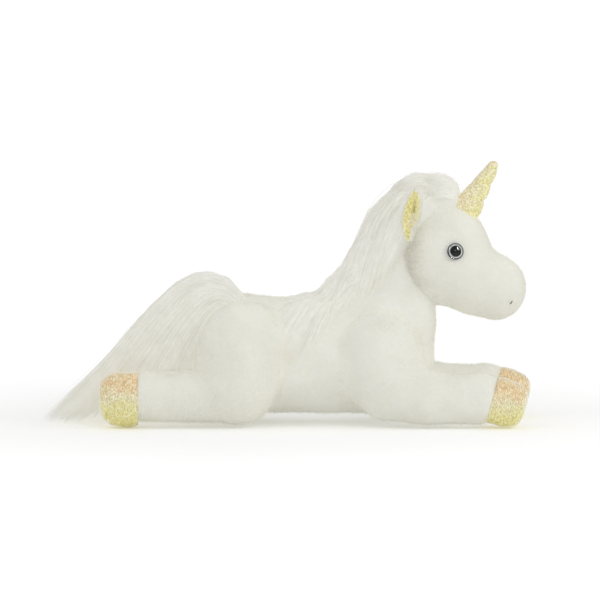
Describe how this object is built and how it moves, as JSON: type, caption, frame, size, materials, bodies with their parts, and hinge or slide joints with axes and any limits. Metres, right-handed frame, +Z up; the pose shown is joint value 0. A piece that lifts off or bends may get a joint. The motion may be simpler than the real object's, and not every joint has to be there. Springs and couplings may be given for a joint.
{
  "type": "plush unicorn",
  "caption": "Stuffed plush unicorn lying on its belly with legs stretched out, a soft horn, long mane and tail, and glossy cloth hooves.",
  "frame": {"origin": "on the floor, under the belly's flat rest face, on the middle plane", "axes": "+X towards the nose, +Y the animal's left, +Z up"},
  "size_m": [0.3468, 0.1172, 0.1862],
  "materials": {
    "plush": "short ivory pile",
    "hair": "long ivory pile",
    "foil_cloth": "pale gold iridescent coated knit",
    "stuffing": "polyester fibre",
    "pouch_cloth": "plain weave",
    "pellets": "translucent white beads",
    "thread": "twisted thread",
    "nostril_thread": "dark embroidery thread",
    "eye_black": "polished",
    "eye_silver": "metallic paint behind the lens",
    "eye_clear": "clear acrylic",
    "washer": "moulded"
  },
  "bodies": {
    "torso": {"torso_cover": "plush", "torso_stuffing": "stuffing", "pellet_pouch": "pouch_cloth", "pellet_fill": "pellets", "closing_stitches": "thread"},
    "neck": {"neck_cover": "plush", "neck_stuffing": "stuffing", "mane_strip": "pouch_cloth", "mane_hair": "hair"},
    "head": {"head_cover": "plush", "head_stuffing": "stuffing", "poll_hair": "hair", "forelock_hair": "hair", "eye_base_left": "eye_black", "eye_iris_left": "eye_silver", "eye_pupil_left": "eye_black", "eye_lens_left": "eye_clear", "eye_washer_left": "washer", "nostril_stitch_left": "nostril_thread", "eye_base_right": "eye_black", "eye_iris_right": "eye_silver", "eye_pupil_right": "eye_black", "eye_lens_right": "eye_clear", "eye_washer_right": "washer", "nostril_stitch_right": "nostril_thread"},
    "horn": {"horn_cover": "foil_cloth", "horn_stuffing": "stuffing", "horn_thread": "thread"},
    "tail": {"tail_dock": "plush", "tail_hair": "hair"},
    "ear_left": {"ear_shell_left": "plush", "ear_lining_left": "foil_cloth"},
    "foreleg_left": {"foreleg_cover_left": "plush", "foreleg_stuffing_left": "stuffing", "fore_hoof_cap_left": "foil_cloth", "fore_hoof_sole_left": "foil_cloth", "fore_hoof_pellets_left": "pellets"},
    "hindleg_left": {"hindleg_cover_left": "plush", "hindleg_stuffing_left": "stuffing", "hind_hoof_cap_left": "foil_cloth", "hind_hoof_sole_left": "foil_cloth", "hind_hoof_pellets_left": "pellets"},
    "ear_right": {"ear_shell_right": "plush", "ear_lining_right": "foil_cloth"},
    "foreleg_right": {"foreleg_cover_right": "plush", "foreleg_stuffing_right": "stuffing", "fore_hoof_cap_right": "foil_cloth", "fore_hoof_sole_right": "foil_cloth", "fore_hoof_pellets_right": "pellets"},
    "hindleg_right": {"hindleg_cover_right": "plush", "hindleg_stuffing_right": "stuffing", "hind_hoof_cap_right": "foil_cloth", "hind_hoof_sole_right": "foil_cloth", "hind_hoof_pellets_right": "pellets"}
  },
  "joints": [
    {"name": "neck_nod", "type": "hinge", "parent": "torso", "child": "neck", "pos_m": [0.072, 0, 0.075], "axis": [0, 1, 0], "range_deg": [-8, 12]},
    {"name": "head_turn", "type": "hinge", "parent": "neck", "child": "head", "pos_m": [0.111, 0, 0.118], "axis": [0.6718, 0, 0.7407], "range_deg": [-20, 20]},
    {"name": "horn_flex", "type": "hinge", "parent": "head", "child": "horn", "pos_m": [0.127, 0, 0.151], "axis": [0, 1, 0], "range_deg": [-10, 15]},
    {"name": "tail_lift", "type": "hinge", "parent": "torso", "child": "tail", "pos_m": [-0.048, 0, 0.095], "axis": [0, 1, 0], "range_deg": [0, 70]},
    {"name": "ear_left_fold", "type": "hinge", "parent": "head", "child": "ear_left", "pos_m": [0.086, 0.025, 0.136], "axis": [-1, 0, 0], "range_deg": [0, 50]},
    {"name": "foreleg_left_swing", "type": "hinge", "parent": "torso", "child": "foreleg_left", "pos_m": [0.076, 0.0386, 0.036], "axis": [0, 1, 0], "range_deg": [-25, 0]},
    {"name": "hindleg_left_swing", "type": "hinge", "parent": "torso", "child": "hindleg_left", "pos_m": [-0.037, 0.0386, 0.05], "axis": [0, 1, 0], "range_deg": [0, 30]},
    {"name": "ear_right_fold", "type": "hinge", "parent": "head", "child": "ear_right", "pos_m": [0.086, -0.025, 0.136], "axis": [1, 0, 0], "range_deg": [0, 50]},
    {"name": "foreleg_right_swing", "type": "hinge", "parent": "torso", "child": "foreleg_right", "pos_m": [0.076, -0.0386, 0.036], "axis": [0, 1, 0], "range_deg": [-25, 0]},
    {"name": "hindleg_right_swing", "type": "hinge", "parent": "torso", "child": "hindleg_right", "pos_m": [-0.037, -0.0386, 0.05], "axis": [0, 1, 0], "range_deg": [0, 30]}
  ]
}
